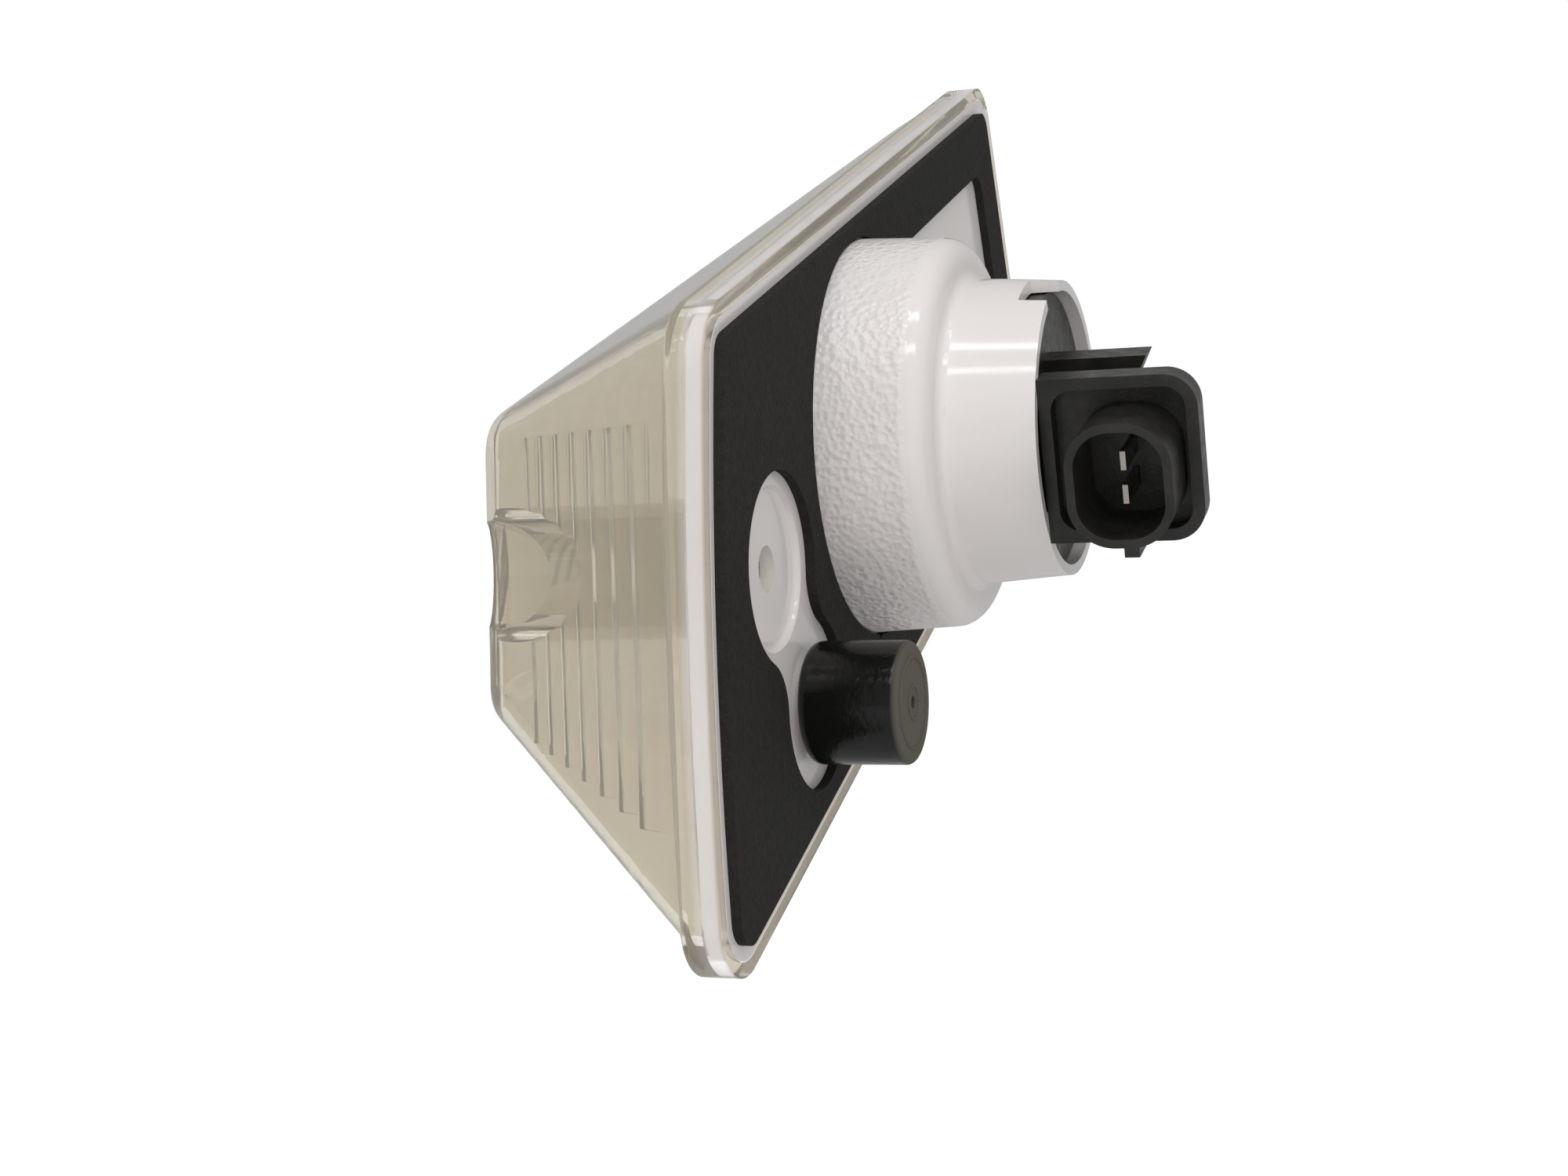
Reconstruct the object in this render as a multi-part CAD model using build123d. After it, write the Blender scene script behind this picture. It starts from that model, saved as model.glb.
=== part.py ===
"""Vehicle indicator lamp: clear lens, white housing, foam gasket, vent cap and twist-in bulb holder.

Units are millimetres. +X points rearwards into the vehicle, +Z is up, and the lens faces -X.
The origin is on the fixing screw's axis, at the rear end of its hole in the housing.
"""
import os
from math import cos, degrees, hypot, radians, sin

from build123d import *

# Flange outline: distance of each edge from the screw axis, and the way its outer side faces
NEAR_EDGE = 23.5
NEAR_FACING_ANGLE = 182.9
NEAR_BOW = 2.8
TOP_EDGE = 40.2
TOP_FACING_ANGLE = 112.8
FAR_EDGE = 154.0
FAR_FACING_ANGLE = 28.1
LOW_EDGE = 44.5
LOW_FACING_ANGLE = -63.8
TOP_NEAR_ROUND = 10.0
TOP_FAR_ROUND = 8.0
LOW_FAR_ROUND = 9.0
LOW_NEAR_ROUND = 9.0

# Gasket
GASKET_THICKNESS = 1.5
GASKET_NEAR_BORDER = 3.4
GASKET_TOP_BORDER = 4.0
GASKET_FAR_BORDER = 8.0
GASKET_LOW_BORDER = 5.0
GASKET_CORNER_ROUND = 4.0
GASKET_BAND = 10.0
GASKET_BOSS_GAP = 0.3
KEYHOLE_SCREW_RADIUS = 13.9
KEYHOLE_VENT_RADIUS = 12.8
KEYHOLE_WAIST_ROUND = 8.0

# Lens
LENS_WALL = 2.4
LENS_DEPTH = 40.7
LENS_FLANGE_THICKNESS = 2.6
LENS_LIP_ROUND = 0.6
LENS_SKIRT_WALL = 2.0
LENS_NEAR_LEDGE = 1.0
LENS_TOP_LEDGE = 0.8
LENS_FAR_LEDGE = 3.0
LENS_LOW_LEDGE = 3.0
LENS_NEAR_TAPER = 24.0
LENS_TOP_TAPER = 20.0
LENS_FAR_TAPER = 15.0
LENS_LOW_TAPER = 17.5
LENS_LEAN_ANGLE = 13.5
LENS_LEAN_TOWARDS_ANGLE = 24.5
LENS_LOFT_SHARE = 1.3
LENS_CROWN = 4.0
LENS_BEVEL_ANGLE = 19.5
LENS_BEVEL_SETBACK = 1.9
LENS_TOP_CORNER_ROUND = 10.0
LENS_LOW_CORNER_ROUND = 6.5
LENS_FRONT_CORNER_ROUND = 7.5
LENS_FRONT_EDGE_ROUND = 5.5
SCREW_POCKET_RADIUS = 8.0
SCREW_POCKET_WALL = 1.8
SCREW_POCKET_FLOOR = 2.4
FLUTE_COUNT = 7
FLUTE_DEPTH = 0.55
FLUTE_START_SHARE = 0.10
FLUTE_END_SHARE = 0.73
FLUTE_PITCH_SHARE = 0.95
FLUTE_TOP = 19.5
FLUTE_LOW_AT_FLANGE = -38.5
FLUTE_LOW_AT_FRONT = -18.0
FRONT_FLUTE_PITCH = 6.0
FRONT_FLUTE_COUNT = 18
FRONT_FLUTE_MARGIN = 3.0

# Housing
HOUSING_PLATE = 3.2
LENS_HOUSING_GAP = 0.2
FIXING_HOLE_RADIUS = 3.3
SCREW_RECESS_RADIUS = 11.8
SCREW_RECESS_DEPTH = 1.0
SCREW_RECESS_ROUND = 0.8
BOSS_Y = 45.4
BOSS_Z = 21.8
BOSS_RADIUS = 31.2
BOSS_DRAFT = 1.0
BOSS_HEIGHT = 18.0
BOSS_SHOULDER_SHARE = 0.62
BOSS_WALL = 2.4
COLLAR_BASE_RADIUS = 23.9
COLLAR_END_RADIUS = 22.7
COLLAR_LENGTH = 14.5
COLLAR_BORE = 21.1
COLLAR_FOOT_SHARE = 0.25
NOTCH_WIDTH = 9.2
NOTCH_DEPTH = 4.3
NOTCH_ANGLE = 116.0
NOTCH_OVERRUN = 1.0
LEDGE_REACH = 2.9
LEDGE_THICKNESS = 2.6
LEDGE_SPAN_ANGLE = 40.0
LEDGE_ROOT = 0.5
BOND_WIDTH = 2.0
BOND_DEPTH = 0.9
BOND_INSET = 1.5

# Vent tube and cap
VENT_Y = 14.4
VENT_Z = -19.3
VENT_TUBE_RADIUS = 6.2
VENT_TUBE_WALL = 1.4
VENT_TUBE_HEIGHT = 10.5
VENT_TUBE_FOOT_ROUND = 2.0
VENT_CAP_RADIUS = 9.0
VENT_CAP_WALL = 2.2
VENT_CAP_LENGTH = 14.9
VENT_CAP_LIFT = 1.0
VENT_CAP_END_ROUND = 1.0
VENT_CAP_FOOT_ROUND = 1.4
VENT_RIB_FIT = 0.05
VENT_RIB_COUNT = 4
VENT_RIB_WIDTH = 1.2
VENT_CAP_DIMPLE_RADIUS = 1.0
VENT_CAP_DIMPLE_DEPTH = 0.5

# Bulb holder
HOLDER_TURN_ANGLE = 20.0
HOLDER_CLEARANCE = 0.3
HOLDER_LUG_COUNT = 3
HOLDER_LUG_ANGLE = 36.0
HOLDER_LUG_THICKNESS = 2.6
HOLDER_LUG_PLAY = 0.3
HOLDER_PLUG_LENGTH = 7.8
HOLDER_HUB_RADIUS = 17.6
HOLDER_HUB_WALL = 2.2
HOLDER_DISC_THICKNESS = 2.6
HOLDER_DISC_RECESS = 2.0
SEAL_SECTION_RADIUS = 0.95
SEAL_GROOVE_FIT = 0.05
SEAL_BORE_GAP = 0.3
SOCKET_BORE = 7.8
SOCKET_WALL = 2.4
SOCKET_FLOOR_DEPTH = 5.0
SOCKET_REACH = 23.0
PANEL_LENGTH = 23.2
PANEL_WIDTH = 25.0
PANEL_NEAR = 19.0
PANEL_THICKNESS = 4.5
PANEL_RIM = 1.8
PANEL_RECESS = 3.0
PANEL_CORNER_ROUND = 5.0
NECK_LENGTH = 19.5
NECK_TOP = 7.0
NECK_LOW = 9.0
BAR_LENGTH = 13.6
BAR_WIDTH = 23.6
BAR_NEAR = 4.0
BAR_FAR = 1.5
BAR_HOOK = 1.6
SHROUD_OFFSET = 1.2
SHROUD_DROP = 1.2
SHROUD_AXIAL = 15.4
SHROUD_ACROSS = 18.4
SHROUD_ROUND = 6.6
SHROUD_WALL = 1.3
SHROUD_REACH = 28.5
SHROUD_DEPTH = 14.0
SHROUD_KEY_WIDTH = 2.2
SHROUD_KEY_HEIGHT = 1.4
SHROUD_KEY_LENGTH = 8.0

# Contacts
BLADE_WIDTH = 2.8
BLADE_THICKNESS = 0.8
BLADE_PITCH = 5.0
BLADE_TIP_DEPTH = 4.5
STRIP_THICKNESS = 0.6
CONTACT_PAD = 5.0
CONTACT_SLOT_GAP = 0.05
CONTACT_STANDOFF = 1.6

# Bulb
BULB_CAP_RADIUS = 7.5
BULB_CAP_LENGTH = 17.0
BULB_CAP_WALL = 0.4
BULB_PIN_RADIUS = 1.0
BULB_PIN_REACH = 1.0
BULB_PIN_HEIGHT = 6.4
BULB_PIN_ANGLES = (90.0, 240.0)
BULB_SLOT_GAP = 0.3
BULB_FIT = 0.1
BULB_INSULATOR_THICKNESS = 2.4
BULB_BUTTON_RADIUS = 2.4
BULB_BUTTON_HEIGHT = 0.7
GLASS_RADIUS = 12.5
GLASS_NECK_RADIUS = 6.9
GLASS_LENGTH = 31.0
GLASS_WALL = 0.8
GLASS_SHOULDER_ANGLE = 50.0
GLASS_NECK_LENGTH = 1.0
GLASS_NECK_TUCK = 3.0
STEM_RADIUS = 3.0
STEM_LENGTH = 9.0
WIRE_RADIUS = 0.35
WIRE_SPACING = 6.0
WIRE_STRAIGHT = 1.5
FILAMENT_RADIUS = 0.5
FILAMENT_END_GAP = 0.15
LIGHT_CENTRE = 15.5

# How near two sizes are when they count as the same
SAME = 0.01

# Stations along X, and the boss's step, that the sizes above fix
SEAT_X = SCREW_RECESS_DEPTH
GASKET_FACE_X = SEAT_X + GASKET_THICKNESS
HOUSING_FRONT_X = SEAT_X - HOUSING_PLATE
LENS_BACK_X = HOUSING_FRONT_X - LENS_HOUSING_GAP
LENS_FLANGE_X = LENS_BACK_X - LENS_FLANGE_THICKNESS
LENS_FRONT_X = LENS_FLANGE_X - LENS_DEPTH
BOSS_TOP_X = SEAT_X + BOSS_HEIGHT
BOSS_TOP_RADIUS = BOSS_RADIUS - BOSS_DRAFT
BOSS_STEP = BOSS_TOP_RADIUS - COLLAR_BASE_RADIUS
BOSS_SHOULDER_ROUND = BOSS_STEP * BOSS_SHOULDER_SHARE
COLLAR_FOOT_ROUND = BOSS_STEP * COLLAR_FOOT_SHARE
VENT_TUBE_END_X = SEAT_X + VENT_TUBE_HEIGHT
VENT_CAP_X = SEAT_X + VENT_CAP_LIFT
VENT_CAP_END_X = VENT_CAP_X + VENT_CAP_LENGTH
VENT_CAP_FLOOR_X = VENT_CAP_END_X - VENT_CAP_WALL
COLLAR_END_X = BOSS_TOP_X + COLLAR_LENGTH
DISC_BACK_X = COLLAR_END_X - HOLDER_DISC_RECESS
DISC_FRONT_X = DISC_BACK_X - HOLDER_DISC_THICKNESS
PLUG_FRONT_X = COLLAR_END_X - HOLDER_PLUG_LENGTH
SEAL_X = (PLUG_FRONT_X + DISC_FRONT_X) / 2
LEDGE_BACK_X = PLUG_FRONT_X - HOLDER_LUG_PLAY
LEDGE_FRONT_X = LEDGE_BACK_X - LEDGE_THICKNESS
LUG_BACK_X = LEDGE_FRONT_X - HOLDER_LUG_PLAY
HUB_FRONT_X = LUG_BACK_X - HOLDER_LUG_THICKNESS
SOCKET_FLOOR_X = COLLAR_END_X - SOCKET_FLOOR_DEPTH
SOCKET_FRONT_X = COLLAR_END_X - SOCKET_REACH
BLADE_X = COLLAR_END_X + PANEL_LENGTH / 2 + SHROUD_OFFSET
PAD_X = SOCKET_FLOOR_X - STRIP_THICKNESS - CONTACT_STANDOFF
BUTTON_X = PAD_X - BULB_FIT
BULB_BASE_X = BUTTON_X - BULB_BUTTON_HEIGHT
CAP_FRONT_X = BULB_BASE_X - BULB_CAP_LENGTH
PIN_X = BULB_BASE_X - BULB_PIN_HEIGHT
GLASS_TIP_X = CAP_FRONT_X - GLASS_LENGTH
FILAMENT_X = CAP_FRONT_X - LIGHT_CENTRE

EDGES = {
    "near": (NEAR_EDGE, NEAR_FACING_ANGLE),
    "top": (TOP_EDGE, TOP_FACING_ANGLE),
    "far": (FAR_EDGE, FAR_FACING_ANGLE),
    "low": (LOW_EDGE, LOW_FACING_ANGLE),
}
CORNERS = (("near", "top"), ("top", "far"), ("far", "low"), ("low", "near"))
FLANGE_ROUNDS = (TOP_NEAR_ROUND, TOP_FAR_ROUND, LOW_FAR_ROUND, LOW_NEAR_ROUND)
LENS_BASE_ROUNDS = (LENS_TOP_CORNER_ROUND,) * 2 + (LENS_LOW_CORNER_ROUND,) * 2
NO_INSET = {"near": 0.0, "top": 0.0, "far": 0.0, "low": 0.0}
LEDGES = {"near": LENS_NEAR_LEDGE, "top": LENS_TOP_LEDGE, "far": LENS_FAR_LEDGE, "low": LENS_LOW_LEDGE}
TAPERS = {"near": LENS_NEAR_TAPER, "top": LENS_TOP_TAPER, "far": LENS_FAR_TAPER, "low": LENS_LOW_TAPER}
GASKET_BORDERS = {
    "near": GASKET_NEAR_BORDER,
    "top": GASKET_TOP_BORDER,
    "far": GASKET_FAR_BORDER,
    "low": GASKET_LOW_BORDER,
}


def grown(insets, amount):
    """The same insets, each deeper by one amount."""
    return {side: inset + amount for side, inset in insets.items()}


def lens_insets(share):
    """Insets of the lens body at a share of its depth, 0 at the flange and 1 at the front."""
    return {side: LEDGES[side] + TAPERS[side] * share for side in EDGES}


def corner(first, second, insets):
    """Where two edges of the outline cross, in (y, z), after their insets."""
    (d1, f1), (d2, f2) = EDGES[first], EDGES[second]
    d1 -= insets[first]
    d2 -= insets[second]
    c1, s1, c2, s2 = cos(radians(f1)), sin(radians(f1)), cos(radians(f2)), sin(radians(f2))
    turn = c1 * s2 - c2 * s1
    return ((d1 * s2 - d2 * s1) / turn, (c1 * d2 - c2 * d1) / turn)


def outline(insets, rounds, bow=0.0):
    """The lamp's four-sided outline as a flat face, its near edge bowed outwards."""
    points = [corner(a, b, insets) for a, b in CORNERS]
    facing = radians(NEAR_FACING_ANGLE)
    middle = [(points[3][k] + points[0][k]) / 2 for k in (0, 1)]
    crown = (middle[0] + bow * cos(facing), middle[1] + bow * sin(facing))
    sides = [Line(points[k], points[k + 1]) for k in range(3)]
    if bow:
        sides.append(ThreePointArc(points[3], crown, points[0]))
    else:
        sides.append(Line(points[3], points[0]))
    face = make_face(sides)
    for point, radius in zip(points, rounds):
        face = fillet(face.vertices().sort_by_distance((*point, 0))[0], radius)
    return face


def slab(face, x_from, x_to):
    """A flat (y, z) face extruded between two stations along X."""
    return extrude(Plane.YZ.offset(x_from) * face, x_to - x_from)


def rod(x_from, x_to, radius, y=0.0, z=0.0):
    """A solid cylinder along X."""
    return Pos(0, y, z) * slab(Circle(radius), x_from, x_to)


def tube(x_from, x_to, outer, inner, y=0.0, z=0.0):
    """A hollow cylinder along X."""
    return rod(x_from, x_to, outer, y, z) - rod(x_from, x_to, inner, y, z)


def turned(points):
    """A solid turned about the X axis from (x, radius) points."""
    return revolve(make_face(Polyline(*points, close=True)), Axis.X)


def sector(x_from, x_to, outer, inner, middle, span):
    """A part of a ring about X, centred on an angle measured from +Y towards +Z."""
    reach = 2 * outer
    ends = [radians(middle - span / 2), radians(middle + span / 2)]
    wedge = make_face(Polyline((0, 0), *[(reach * cos(a), reach * sin(a)) for a in ends], close=True))
    return tube(x_from, x_to, outer, inner) & slab(wedge, x_from, x_to)


def circles_at(solid, x, radius):
    """The round edges of a solid at one station along X with one radius."""
    rounds = solid.edges().filter_by(GeomType.CIRCLE)
    return [e for e in rounds if abs(e.radius - radius) < SAME and abs(e.arc_center.X - x) < SAME]


def front_rearward():
    """The way that the inner side of the lens's leaning front faces."""
    lean, towards = radians(LENS_LEAN_ANGLE), radians(LENS_LEAN_TOWARDS_ANGLE)
    return Vector(cos(lean), -sin(lean) * cos(towards), -sin(lean) * sin(towards))


def lens_shell(wall_in):
    """The lens's tapered bulge with its leaning front; moved in by the wall it is the hollow."""
    end_x = LENS_FLANGE_X - LENS_DEPTH * LENS_LOFT_SHARE
    base = outline(grown(lens_insets(0), wall_in), [r - wall_in for r in LENS_BASE_ROUNDS])
    end = outline(grown(lens_insets(LENS_LOFT_SHARE), wall_in), [LENS_FRONT_CORNER_ROUND - wall_in] * 4)
    bulge = loft([Plane.YZ.offset(LENS_FLANGE_X) * base, Plane.YZ.offset(end_x) * end], ruled=True)
    rearward = front_rearward()
    on_front = Vector(LENS_FRONT_X - LENS_CROWN, 0, 0) + rearward * wall_in
    bulge = split(bulge, bisect_by=Plane(origin=on_front, z_dir=rearward), keep=Keep.TOP)
    front = min(bulge.faces(), key=lambda face: face.normal_at().dot(rearward))
    bulge = fillet(front.edges(), LENS_FRONT_EDGE_ROUND - wall_in)
    slope = radians(LENS_BEVEL_ANGLE)
    inward = Vector(cos(slope), sin(slope), 0)
    on_bevel = Vector(LENS_FRONT_X + LENS_BEVEL_SETBACK, 0, 0) + inward * wall_in
    bulge = split(bulge, bisect_by=Plane(origin=on_bevel, z_dir=inward), keep=Keep.TOP)
    bevel = min(bulge.faces(), key=lambda face: face.normal_at().dot(inward))
    bulge = fillet(bevel.edges(), LENS_FRONT_EDGE_ROUND - wall_in)
    return bulge + slab(base, LENS_FLANGE_X, LENS_BACK_X)


def near_wall_point(share, z):
    """A point on the inner face of the lens's near wall."""
    inset = lens_insets(share)["near"] + LENS_WALL
    facing = radians(NEAR_FACING_ANGLE)
    y = (NEAR_EDGE - inset - z * sin(facing)) / cos(facing)
    return Vector(LENS_FLANGE_X - LENS_DEPTH * share, y, z)


def flute_radius(pitch):
    """The radius of a flute of the common depth that fills one pitch."""
    return (pitch * pitch / 4 + FLUTE_DEPTH * FLUTE_DEPTH) / (2 * FLUTE_DEPTH)


def flute_shares():
    """Where the near wall's flutes meet, as shares of the depth, each flute narrower than the one before."""
    widths = [FLUTE_PITCH_SHARE**index for index in range(FLUTE_COUNT)]
    scale = (FLUTE_END_SHARE - FLUTE_START_SHARE) / sum(widths)
    return [FLUTE_START_SHARE + scale * sum(widths[:index]) for index in range(FLUTE_COUNT + 1)]


def near_wall_flutes():
    """Round-bottomed flutes cut into the inner face of the near wall to spread the light."""
    ridges = flute_shares()
    cutters = []
    for start_share, end_share in zip(ridges, ridges[1:]):
        share = (start_share + end_share) / 2
        across = near_wall_point(end_share, FLUTE_TOP) - near_wall_point(start_share, FLUTE_TOP)
        radius = flute_radius(across.length)
        top = near_wall_point(share, FLUTE_TOP)
        low_z = FLUTE_LOW_AT_FLANGE + (FLUTE_LOW_AT_FRONT - FLUTE_LOW_AT_FLANGE) * share
        low = near_wall_point(share, low_z)
        along = (low - top).normalized()
        inward = along.cross(across).normalized()
        if inward.Y < 0:
            inward = inward * -1
        start = top + inward * (radius - FLUTE_DEPTH)
        cutters.append(extrude(Plane(origin=start, z_dir=along) * Circle(radius), (low - top).length))
    return cutters


def front_flutes():
    """Upright flutes in the inner face of the front, from the screw pocket to the far end."""
    rearward = front_rearward()
    radius = flute_radius(FRONT_FLUTE_PITCH)
    field_wall = LENS_WALL + FRONT_FLUTE_MARGIN
    field = Pos(rearward * -(FRONT_FLUTE_MARGIN + LENS_WALL / 2)) * lens_shell(field_wall)
    on_inside = Vector(LENS_FRONT_X - LENS_CROWN, 0, 0) + rearward * (LENS_WALL + radius - FLUTE_DEPTH)
    across = Vector(0, 0, 1).cross(rearward).normalized()
    along = rearward.cross(across)
    first = SCREW_POCKET_RADIUS + SCREW_POCKET_WALL + FRONT_FLUTE_PITCH
    cutters = []
    for index in range(FRONT_FLUTE_COUNT):
        middle = on_inside + across * (first + FRONT_FLUTE_PITCH * index)
        start = middle - along * FAR_EDGE
        cutters.append(extrude(Plane(origin=start, z_dir=along) * Circle(radius), 2 * FAR_EDGE) & field)
    return cutters


def make_lens():
    """Clear moulding: tapered bulge, flange with a skirt, and a pocket for the fixing screw."""
    outer = lens_shell(0.0)
    hollow = lens_shell(LENS_WALL)
    for flute in near_wall_flutes() + front_flutes():
        hollow += flute
    plate = slab(outline(NO_INSET, FLANGE_ROUNDS, NEAR_BOW), LENS_FLANGE_X, LENS_BACK_X)
    plate = fillet(plate.faces().sort_by(Axis.X)[0].edges(), LENS_LIP_ROUND)
    skirt_outer = slab(outline(NO_INSET, FLANGE_ROUNDS, NEAR_BOW), LENS_BACK_X, SEAT_X)
    inner_rounds = [r - LENS_SKIRT_WALL for r in FLANGE_ROUNDS]
    inner = outline(grown(NO_INSET, LENS_SKIRT_WALL), inner_rounds, NEAR_BOW)
    skirt = skirt_outer - slab(inner, LENS_BACK_X, SEAT_X)
    mouth_x = LENS_FRONT_X - SCREW_POCKET_RADIUS
    well = rod(mouth_x, LENS_BACK_X, SCREW_POCKET_RADIUS + SCREW_POCKET_WALL) & outer
    pocket = rod(mouth_x, LENS_BACK_X - SCREW_POCKET_FLOOR, SCREW_POCKET_RADIUS)
    screw_hole = rod(LENS_FRONT_X, LENS_BACK_X, FIXING_HOLE_RADIUS)
    return (outer + plate - hollow) + skirt + well - pocket - screw_hole


def bond_ring():
    """The ring-shaped path of the sealant between lens and housing, as a flat face."""
    outer_inset = LENS_SKIRT_WALL + BOND_INSET
    outer_rounds = [r - outer_inset for r in FLANGE_ROUNDS]
    inner_inset = outer_inset + BOND_WIDTH
    inner_rounds = [max(r - inner_inset, BOND_WIDTH) for r in FLANGE_ROUNDS]
    outer = outline(grown(NO_INSET, outer_inset), outer_rounds, NEAR_BOW)
    return outer - outline(grown(NO_INSET, inner_inset), inner_rounds, NEAR_BOW)


def make_lens_bond():
    """Sealant bead in the housing's groove, reaching the lens flange."""
    return slab(bond_ring(), LENS_BACK_X, HOUSING_FRONT_X + BOND_DEPTH)


def boss_and_collar():
    """The round boss with its softened shoulder and the drafted collar, solid inside."""
    boss = turned(
        [
            (HOUSING_FRONT_X, 0),
            (HOUSING_FRONT_X, BOSS_RADIUS),
            (SEAT_X, BOSS_RADIUS),
            (BOSS_TOP_X, BOSS_TOP_RADIUS),
            (BOSS_TOP_X, 0),
        ]
    )
    boss = fillet(boss.faces().sort_by(Axis.X)[-1].edges(), BOSS_SHOULDER_ROUND)
    collar = turned(
        [
            (SEAT_X, 0),
            (SEAT_X, COLLAR_BASE_RADIUS),
            (BOSS_TOP_X, COLLAR_BASE_RADIUS),
            (COLLAR_END_X, COLLAR_END_RADIUS),
            (COLLAR_END_X, 0),
        ]
    )
    whole = boss + collar
    return fillet(circles_at(whole, BOSS_TOP_X, COLLAR_BASE_RADIUS), COLLAR_FOOT_ROUND)


def bowl_hollow():
    """The bowl behind the bulb and the bore that takes the bulb holder."""
    roof_x = BOSS_TOP_X - BOSS_WALL
    bowl = rod(HOUSING_FRONT_X, roof_x, BOSS_TOP_RADIUS - BOSS_WALL)
    bowl = fillet(bowl.faces().sort_by(Axis.X)[-1].edges(), BOSS_SHOULDER_ROUND)
    return bowl + rod(HOUSING_FRONT_X, COLLAR_END_X, COLLAR_BORE)


def locking_ledges():
    """Three inner ledges that the bulb holder's lugs turn behind."""
    inner = COLLAR_BORE - LEDGE_REACH
    outer = COLLAR_BORE + LEDGE_ROOT
    step = 360.0 / HOLDER_LUG_COUNT
    return [
        sector(LEDGE_FRONT_X, LEDGE_BACK_X, outer, inner, HOLDER_TURN_ANGLE + step * k, LEDGE_SPAN_ANGLE)
        for k in range(HOLDER_LUG_COUNT)
    ]


def collar_notch():
    """The slot in the collar's rim."""
    width = degrees(NOTCH_WIDTH / COLLAR_END_RADIUS)
    start_x = COLLAR_END_X - NOTCH_DEPTH
    outer, inner = COLLAR_BASE_RADIUS + NOTCH_OVERRUN, COLLAR_BORE - NOTCH_OVERRUN
    return sector(start_x, COLLAR_END_X, outer, inner, NOTCH_ANGLE, width)


def make_housing():
    """White moulding: flange plate, bowl-shaped boss, collar, vent tube and screw recess."""
    inset = LENS_SKIRT_WALL + LENS_HOUSING_GAP
    plate = outline(grown(NO_INSET, inset), [r - inset for r in FLANGE_ROUNDS], NEAR_BOW)
    body = slab(plate, HOUSING_FRONT_X, SEAT_X)
    recess = rod(SEAT_X - SCREW_RECESS_DEPTH, SEAT_X, SCREW_RECESS_RADIUS)
    body -= fillet(recess.faces().sort_by(Axis.X)[0].edges(), SCREW_RECESS_ROUND)
    body -= rod(HOUSING_FRONT_X, SEAT_X, FIXING_HOLE_RADIUS)
    at_boss = Pos(0, BOSS_Y, BOSS_Z)
    body += at_boss * boss_and_collar()
    body -= slab(bond_ring(), HOUSING_FRONT_X, HOUSING_FRONT_X + BOND_DEPTH)
    body -= at_boss * bowl_hollow()
    body -= at_boss * collar_notch()
    for ledge in locking_ledges():
        body += at_boss * ledge
    body += rod(SEAT_X, VENT_TUBE_END_X, VENT_TUBE_RADIUS, VENT_Y, VENT_Z)
    body = fillet(circles_at(body, SEAT_X, VENT_TUBE_RADIUS), VENT_TUBE_FOOT_ROUND)
    return body - rod(HOUSING_FRONT_X, VENT_TUBE_END_X, VENT_TUBE_RADIUS - VENT_TUBE_WALL, VENT_Y, VENT_Z)


def keyhole():
    """The gasket's opening round the screw recess and the vent tube, with a softened waist."""
    both = Circle(KEYHOLE_SCREW_RADIUS) + Pos(VENT_Y, VENT_Z) * Circle(KEYHOLE_VENT_RADIUS)
    on_screw = [v for v in both.vertices() if abs(hypot(v.X, v.Y) - KEYHOLE_SCREW_RADIUS) < SAME]
    waist = [v for v in on_screw if abs(hypot(v.X - VENT_Y, v.Y - VENT_Z) - KEYHOLE_VENT_RADIUS) < SAME]
    return fillet(waist, KEYHOLE_WAIST_ROUND)


def make_gasket():
    """Die-cut foam sheet with a round opening for the boss, open towards the far end."""
    sheet = outline(GASKET_BORDERS, [GASKET_CORNER_ROUND] * 4, NEAR_BOW)
    boss_hole = Pos(BOSS_Y, BOSS_Z) * Circle(BOSS_RADIUS + GASKET_BOSS_GAP)
    window = outline(grown(GASKET_BORDERS, GASKET_BAND), [GASKET_CORNER_ROUND] * 4, 0.0)
    far_half = Pos(BOSS_Y + FAR_EDGE / 2, BOSS_Z) * Rectangle(FAR_EDGE, FAR_EDGE * 2)
    return slab(sheet - boss_hole - (window & far_half) - keyhole(), SEAT_X, GASKET_FACE_X)


def make_vent_cap():
    """Rubber cap over the vent tube, held on it by inner ribs that leave air paths."""
    cap = rod(VENT_CAP_X, VENT_CAP_END_X, VENT_CAP_RADIUS)
    cap = fillet(cap.faces().sort_by(Axis.X)[-1].edges(), VENT_CAP_END_ROUND)
    cap = fillet(cap.faces().sort_by(Axis.X)[0].edges(), VENT_CAP_FOOT_ROUND)
    inside = VENT_CAP_RADIUS - VENT_CAP_WALL
    cap -= rod(VENT_CAP_X, VENT_CAP_FLOOR_X, inside)
    rib_start = VENT_CAP_X + VENT_TUBE_FOOT_ROUND
    rib_inner = VENT_TUBE_RADIUS + VENT_RIB_FIT
    span = degrees(VENT_RIB_WIDTH / VENT_TUBE_RADIUS)
    for index in range(VENT_RIB_COUNT):
        angle = 360.0 / VENT_RIB_COUNT * (index + 0.5)
        cap += sector(rib_start, VENT_CAP_FLOOR_X, inside + VENT_RIB_FIT, rib_inner, angle, span)
    cap -= rod(VENT_CAP_END_X - VENT_CAP_DIMPLE_DEPTH, VENT_CAP_END_X, VENT_CAP_DIMPLE_RADIUS)
    return Pos(0, VENT_Y, VENT_Z) * cap


def block(x_from, x_to, y_from, y_to, z_from, z_to):
    """A box given by its limits."""
    size = (x_to - x_from, y_to - y_from, z_to - z_from)
    return Pos((x_from + x_to) / 2, (y_from + y_to) / 2, (z_from + z_to) / 2) * Box(*size)


def side_slab(face, y_from, y_to):
    """A face drawn in (x, z) and extruded along Y."""
    return extrude(Plane(origin=(0, y_from, 0), x_dir=(1, 0, 0), z_dir=(0, -1, 0)) * face, y_from - y_to)


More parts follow.
